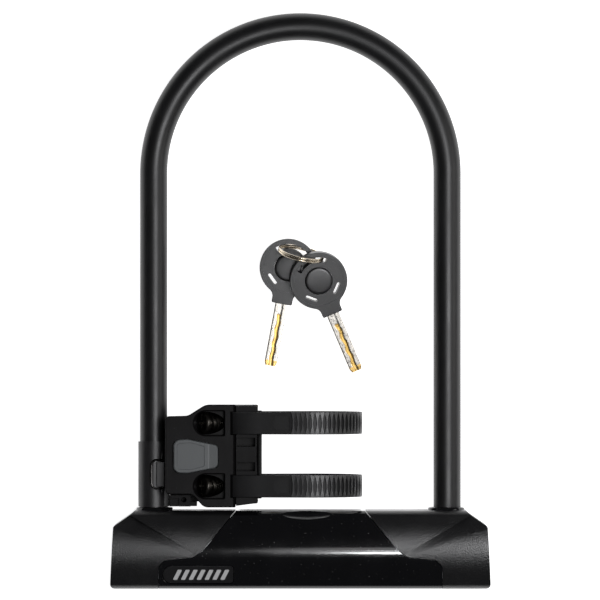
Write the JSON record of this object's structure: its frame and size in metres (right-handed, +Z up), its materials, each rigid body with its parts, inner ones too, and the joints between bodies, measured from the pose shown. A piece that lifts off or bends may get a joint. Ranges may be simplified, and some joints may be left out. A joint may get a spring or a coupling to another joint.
{
  "type": "u lock",
  "caption": "Shackle lock for a bicycle: a coated steel U on a deadbolt crossbar, with a strap-on frame bracket and keys on a ring.",
  "frame": {"origin": "middle of the crossbar's flat back, on the surface that the lock lies on", "axes": "+X along the crossbar towards its right end, +Y from the crossbar to the arch, +Z up from the back to the front"},
  "size_m": [0.2368, 0.3593, 0.0511],
  "materials": {
    "hardened_steel": "dark hardened steel, fine brushed",
    "black_vinyl": "black satin vinyl coat",
    "gloss_black": "gloss black moulding with fine scratches",
    "matte_black_cap": "matte black moulding with a fine texture",
    "bracket_plastic": "matte black glass-filled nylon",
    "strap_plastic": "matte flexible nylon",
    "button_grey": "mid grey satin moulding",
    "chrome_wire": "bright plated wire",
    "screw_steel": "plated steel",
    "brass": "machined brass",
    "nickel_blade": "nickel silver with a cut brass-coloured edge",
    "key_plastic": "black satin moulding",
    "badge_plate": "dark plate with a light bar pattern",
    "rubber": "soft black rubber"
  },
  "bodies": {
    "shackle": {"shackle_bar": "hardened_steel", "shackle_sleeve": "black_vinyl"},
    "crossbar": {"crossbar_tube": "hardened_steel", "centre_cover": "gloss_black", "left_end_cap": "matte_black_cap", "right_end_cap": "matte_black_cap", "left_boot": "gloss_black", "right_boot": "gloss_black", "left_end_plug": "hardened_steel", "right_end_plug": "hardened_steel", "left_leg_guide": "hardened_steel", "right_leg_guide": "hardened_steel", "left_leg_stop": "rubber", "right_leg_stop": "rubber", "left_roll_pin": "hardened_steel", "right_roll_pin": "hardened_steel", "badge_plate": "badge_plate", "lock_body": "brass", "cylinder_shell": "brass", "key_escutcheon": "chrome_wire", "cover_screw_1": "screw_steel", "cover_screw_2": "screw_steel", "cover_screw_3": "screw_steel", "cover_screw_4": "screw_steel"},
    "plug": {"cylinder_plug": "brass", "crank_disc": "hardened_steel", "detainer_disc_1": "hardened_steel", "detainer_disc_2": "hardened_steel", "detainer_disc_3": "hardened_steel", "detainer_disc_4": "hardened_steel", "detainer_disc_5": "hardened_steel"},
    "left_bolt": {"left_bolt": "hardened_steel"},
    "right_bolt": {"right_bolt": "hardened_steel"},
    "shutter": {"keyway_shutter": "matte_black_cap"},
    "collar": {"clamp_collar": "bracket_plastic", "adapter_tongue": "bracket_plastic", "upper_clamp_screw": "screw_steel", "lower_clamp_screw": "screw_steel"},
    "bail": {"wire_bail": "chrome_wire"},
    "bracket": {"bracket_plate": "bracket_plastic", "bracket_base": "bracket_plastic", "saddle_pad": "rubber", "button_spring": "hardened_steel", "upper_strap": "strap_plastic", "lower_strap": "strap_plastic"},
    "button": {"release_button": "button_grey"},
    "upper_worm": {"upper_worm_screw": "screw_steel"},
    "lower_worm": {"lower_worm_screw": "screw_steel"},
    "keyring": {"key_ring": "chrome_wire"},
    "key_1": {"key_1_head": "key_plastic", "key_1_disc": "key_plastic", "key_1_blade": "nickel_blade"},
    "key_2": {"key_2_head": "key_plastic", "key_2_disc": "key_plastic", "key_2_blade": "nickel_blade"}
  },
  "joints": [
    {"name": "crossbar_slide", "type": "slide", "parent": "shackle", "child": "crossbar", "axis": [0, -1, 0], "range_m": [0, 0.06]},
    {"name": "plug_turn", "type": "hinge", "parent": "crossbar", "child": "plug", "pos_m": [0, -0.01, 0.023], "axis": [0, 1, 0], "range_deg": [0, 90]},
    {"name": "left_bolt_slide", "type": "slide", "parent": "crossbar", "child": "left_bolt", "axis": [-1, 0, 0], "range_m": [0, 0.0064]},
    {"name": "right_bolt_slide", "type": "slide", "parent": "crossbar", "child": "right_bolt", "axis": [1, 0, 0], "range_m": [0, 0.0064]},
    {"name": "shutter_slide", "type": "slide", "parent": "crossbar", "child": "shutter", "axis": [1, 0, 0], "range_m": [0, 0.015]},
    {"name": "collar_swivel", "type": "hinge", "parent": "shackle", "child": "collar", "pos_m": [-0.0917, 0.047, 0.023], "axis": [0, -1, 0], "range_deg": [0, 120]},
    {"name": "bail_flip", "type": "hinge", "parent": "collar", "child": "bail", "pos_m": [-0.0864, 0.047, 0.0317], "axis": [0, 1, 0], "range_deg": [0, 80]},
    {"name": "bracket_slide", "type": "slide", "parent": "collar", "child": "bracket", "axis": [0, 1, 0], "range_m": [0, 0.018]},
    {"name": "button_press", "type": "slide", "parent": "bracket", "child": "button", "axis": [0, 0, -1], "range_m": [0, 0.0023], "stiffness_N_per_m": 700, "springref_m": -0.002},
    {"name": "upper_worm_turn", "type": "hinge", "parent": "bracket", "child": "upper_worm", "pos_m": [-0.0612, 0.079, 0.0402], "axis": [0.848, 0, -0.5299], "continuous": true},
    {"name": "lower_worm_turn", "type": "hinge", "parent": "bracket", "child": "lower_worm", "pos_m": [-0.0612, 0.0398, 0.0402], "axis": [0.848, 0, -0.5299], "continuous": true},
    {"name": "key_lift", "type": "slide", "parent": "shackle", "child": "keyring", "axis": [0, 0, 1], "range_m": [0, 0.15]},
    {"name": "key_1_swing", "type": "hinge", "parent": "keyring", "child": "key_1", "pos_m": [-0.0108, 0.1892, 0.0077], "axis": [0, 0, -1], "range_deg": [0, 15]},
    {"name": "key_2_swing", "type": "hinge", "parent": "keyring", "child": "key_2", "pos_m": [0.0137, 0.1809, 0.0169], "axis": [0, 0, 1], "range_deg": [0, 20]}
  ],
  "couplings": [
    {"joint": "plug_turn", "follows": "left_bolt_slide", "rad_per_m": 245.43},
    {"joint": "right_bolt_slide", "follows": "left_bolt_slide", "ratio": 1}
  ]
}
